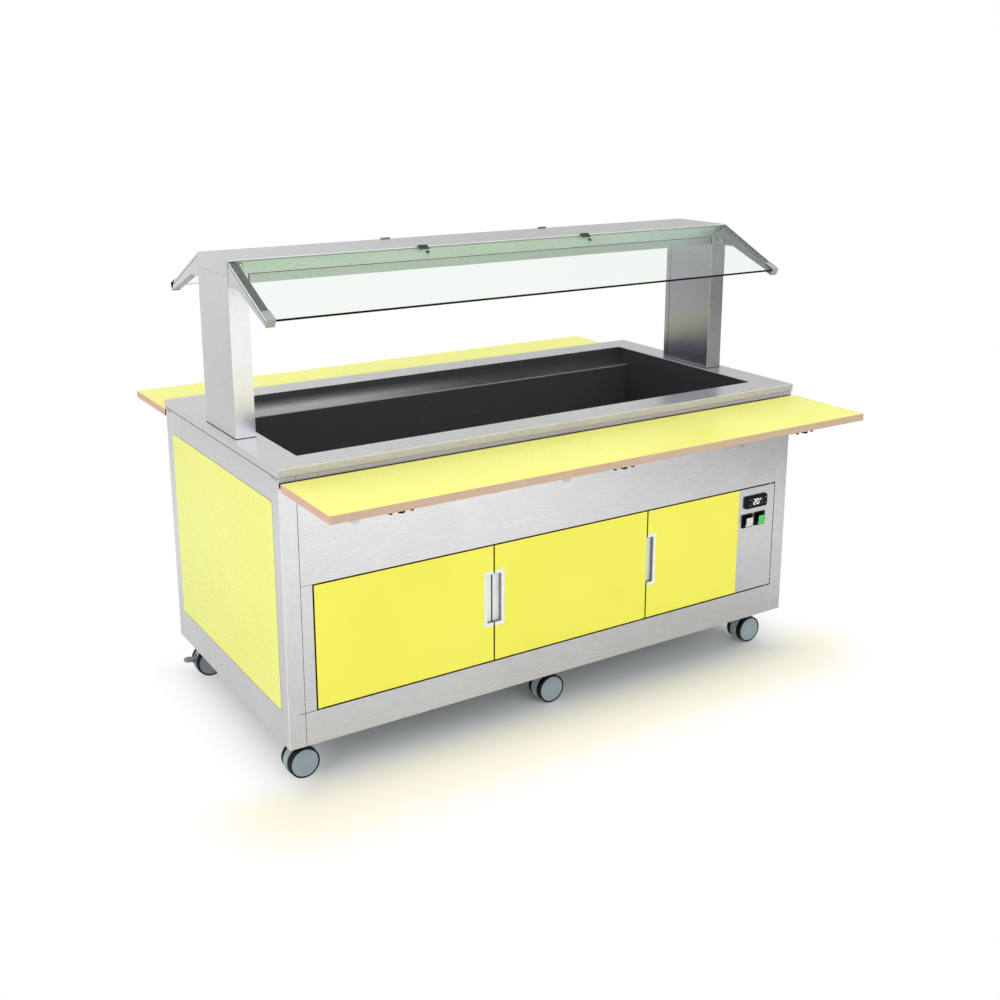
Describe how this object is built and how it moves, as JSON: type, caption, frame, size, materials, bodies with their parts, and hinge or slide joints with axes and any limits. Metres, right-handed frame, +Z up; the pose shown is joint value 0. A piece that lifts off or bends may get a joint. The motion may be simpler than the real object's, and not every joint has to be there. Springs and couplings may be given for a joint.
{
  "type": "self-service display case",
  "caption": "Low mobile self-service counter with a cold food well, a canopy with sloping guard glass on two columns, folding tray slides, cupboard doors and swivel casters.",
  "frame": {"origin": "on the floor at the middle of the case", "axes": "+X along the case to the right as seen from the doors, -Y towards the side with the doors and controls, +Z up"},
  "size_m": [1.502, 1.252, 1.188],
  "materials": {
    "worktop_steel": "brushed along the length",
    "well_steel": "dark satin coating",
    "body_steel": "brushed",
    "inner_steel": "mill finish",
    "column_steel": "satin",
    "door_steel": "brushed",
    "bracket_steel": "satin",
    "underside_aluminium": "satin",
    "coil_aluminium": "mill finish",
    "clip_metal": "polished",
    "yellow_laminate": "fine matt laminate on a wood core",
    "laminated_board": "fine matt laminate faces and a lacquered beech edge",
    "guard_glass": "polished",
    "gasket_rubber": "matt",
    "wheel_rubber": "matt",
    "insulation_foam": "cellular",
    "white_plastic": "satin",
    "grey_plastic": "satin",
    "black_plastic": "fine satin",
    "key_plastic": "satin",
    "switch_white": "gloss",
    "switch_green": "gloss, translucent",
    "fan_plastic": "satin",
    "black_enamel": "gloss enamel",
    "caster_plastic": "satin",
    "pedal_plastic": "satin"
  },
  "bodies": {
    "cabinet": {"worktop": "worktop_steel", "well_basin": "well_steel", "well_insulation": "insulation_foam", "corner_posts": "body_steel", "end_rails": "body_steel", "bottom_rails": "body_steel", "front_fascia": "body_steel", "back_fascia": "body_steel", "back_panel": "yellow_laminate", "end_panels": "yellow_laminate", "cabinet_floor": "inner_steel", "cupboard_divider": "inner_steel", "left_column": "column_steel", "right_column": "column_steel", "canopy_beam": "column_steel", "canopy_underside": "underside_aluminium", "front_glass": "guard_glass", "back_glass": "guard_glass", "canopy_arms": "column_steel", "glass_gaskets": "gasket_rubber", "arm_end_caps": "grey_plastic", "glass_clips": "clip_metal", "compressor": "black_enamel", "condenser": "coil_aluminium", "tray_brackets": "bracket_steel"},
    "left_door": {"left_door_panel": "yellow_laminate", "left_door_pull": "white_plastic"},
    "middle_door": {"middle_door_panel": "yellow_laminate", "middle_door_pull": "white_plastic"},
    "service_door": {"service_door_shell": "door_steel", "service_door_panel": "yellow_laminate", "service_door_pull": "white_plastic", "control_bezels": "black_plastic"},
    "light_switch": {"light_switch": "switch_white"},
    "power_switch": {"power_switch": "switch_green"},
    "upper_left_key": {"upper_left_key": "key_plastic"},
    "lower_left_key": {"lower_left_key": "key_plastic"},
    "upper_right_key": {"upper_right_key": "key_plastic"},
    "lower_right_key": {"lower_right_key": "key_plastic"},
    "front_tray": {"front_tray_board": "laminated_board", "front_tray_arms": "bracket_steel", "front_tray_buffers": "gasket_rubber"},
    "back_tray": {"back_tray_board": "laminated_board", "back_tray_arms": "bracket_steel", "back_tray_buffers": "gasket_rubber"},
    "condenser_fan": {"condenser_fan": "fan_plastic"},
    "front_left_caster": {"front_left_caster": "caster_plastic"},
    "front_left_wheels": {"front_left_wheels": "wheel_rubber"},
    "front_middle_caster": {"front_middle_caster": "caster_plastic"},
    "front_middle_wheels": {"front_middle_wheels": "wheel_rubber"},
    "front_right_caster": {"front_right_caster": "caster_plastic"},
    "front_right_wheels": {"front_right_wheels": "wheel_rubber"},
    "back_left_caster": {"back_left_caster": "caster_plastic"},
    "back_left_wheels": {"back_left_wheels": "wheel_rubber"},
    "back_left_brake_pedal": {"back_left_brake_pedal": "pedal_plastic"},
    "back_middle_caster": {"back_middle_caster": "caster_plastic"},
    "back_middle_wheels": {"back_middle_wheels": "wheel_rubber"},
    "back_right_caster": {"back_right_caster": "caster_plastic"},
    "back_right_wheels": {"back_right_wheels": "wheel_rubber"},
    "back_right_brake_pedal": {"back_right_brake_pedal": "pedal_plastic"}
  },
  "joints": [
    {"name": "left_door_hinge", "type": "hinge", "parent": "cabinet", "child": "left_door", "pos_m": [-0.66799, -0.363, 0.3515], "axis": [0, 0, -1], "range_deg": [0, 100]},
    {"name": "middle_door_hinge", "type": "hinge", "parent": "cabinet", "child": "middle_door", "pos_m": [0.248, -0.363, 0.3515], "axis": [0, 0, 1], "range_deg": [0, 100]},
    {"name": "service_door_hinge", "type": "hinge", "parent": "cabinet", "child": "service_door", "pos_m": [0.69599, -0.363, 0.3515], "axis": [0, 0, 1], "range_deg": [0, 100]},
    {"name": "light_switch_rocker", "type": "hinge", "parent": "service_door", "child": "light_switch", "pos_m": [0.60649, -0.37, 0.40799], "axis": [-1, 0, 0], "range_deg": [0, 18]},
    {"name": "power_switch_rocker", "type": "hinge", "parent": "service_door", "child": "power_switch", "pos_m": [0.65149, -0.37, 0.40799], "axis": [-1, 0, 0], "range_deg": [0, 18]},
    {"name": "upper_left_key_press", "type": "slide", "parent": "service_door", "child": "upper_left_key", "axis": [0, 1, 0], "range_m": [0, 0.0006], "stiffness_N_per_m": 500},
    {"name": "lower_left_key_press", "type": "slide", "parent": "service_door", "child": "lower_left_key", "axis": [0, 1, 0], "range_m": [0, 0.0006], "stiffness_N_per_m": 500},
    {"name": "upper_right_key_press", "type": "slide", "parent": "service_door", "child": "upper_right_key", "axis": [0, 1, 0], "range_m": [0, 0.0006], "stiffness_N_per_m": 500},
    {"name": "lower_right_key_press", "type": "slide", "parent": "service_door", "child": "lower_right_key", "axis": [0, 1, 0], "range_m": [0, 0.0006], "stiffness_N_per_m": 500},
    {"name": "front_tray_hinge", "type": "hinge", "parent": "cabinet", "child": "front_tray", "pos_m": [0, -0.386, 0.713], "axis": [-1, 0, 0], "range_deg": [-90, 0]},
    {"name": "back_tray_hinge", "type": "hinge", "parent": "cabinet", "child": "back_tray", "pos_m": [0, 0.386, 0.713], "axis": [1, 0, 0], "range_deg": [-90, 0]},
    {"name": "front_left_swivel", "type": "hinge", "parent": "cabinet", "child": "front_left_caster", "pos_m": [-0.695, -0.276, 0.09], "axis": [0, 0, 1], "continuous": true},
    {"name": "front_left_wheel_spin", "type": "hinge", "parent": "front_left_caster", "child": "front_left_wheels", "pos_m": [-0.685, -0.276, 0.0375], "axis": [0, 1, 0], "continuous": true},
    {"name": "front_middle_swivel", "type": "hinge", "parent": "cabinet", "child": "front_middle_caster", "pos_m": [0, -0.276, 0.09], "axis": [0, 0, 1], "continuous": true},
    {"name": "front_middle_wheel_spin", "type": "hinge", "parent": "front_middle_caster", "child": "front_middle_wheels", "pos_m": [0.01, -0.276, 0.0375], "axis": [0, 1, 0], "continuous": true},
    {"name": "front_right_swivel", "type": "hinge", "parent": "cabinet", "child": "front_right_caster", "pos_m": [0.695, -0.276, 0.09], "axis": [0, 0, 1], "continuous": true},
    {"name": "front_right_wheel_spin", "type": "hinge", "parent": "front_right_caster", "child": "front_right_wheels", "pos_m": [0.705, -0.276, 0.0375], "axis": [0, 1, 0], "continuous": true},
    {"name": "back_left_swivel", "type": "hinge", "parent": "cabinet", "child": "back_left_caster", "pos_m": [-0.695, 0.347, 0.09], "axis": [0, 0, 1], "continuous": true},
    {"name": "back_left_wheel_spin", "type": "hinge", "parent": "back_left_caster", "child": "back_left_wheels", "pos_m": [-0.685, 0.347, 0.0375], "axis": [0, 1, 0], "continuous": true},
    {"name": "back_left_brake", "type": "hinge", "parent": "back_left_caster", "child": "back_left_brake_pedal", "pos_m": [-0.711, 0.347, 0.052], "axis": [0, -1, 0], "range_deg": [0, 15]},
    {"name": "back_middle_swivel", "type": "hinge", "parent": "cabinet", "child": "back_middle_caster", "pos_m": [0, 0.347, 0.09], "axis": [0, 0, 1], "continuous": true},
    {"name": "back_middle_wheel_spin", "type": "hinge", "parent": "back_middle_caster", "child": "back_middle_wheels", "pos_m": [0.01, 0.347, 0.0375], "axis": [0, 1, 0], "continuous": true},
    {"name": "back_right_swivel", "type": "hinge", "parent": "cabinet", "child": "back_right_caster", "pos_m": [0.695, 0.347, 0.09], "axis": [0, 0, 1], "continuous": true},
    {"name": "back_right_wheel_spin", "type": "hinge", "parent": "back_right_caster", "child": "back_right_wheels", "pos_m": [0.705, 0.347, 0.0375], "axis": [0, 1, 0], "continuous": true},
    {"name": "back_right_brake", "type": "hinge", "parent": "back_right_caster", "child": "back_right_brake_pedal", "pos_m": [0.679, 0.347, 0.052], "axis": [0, -1, 0], "range_deg": [0, 15]},
    {"name": "condenser_fan_spin", "type": "hinge", "parent": "cabinet", "child": "condenser_fan", "pos_m": [0.46, 0.3, 0.311], "axis": [0, 1, 0], "continuous": true}
  ]
}
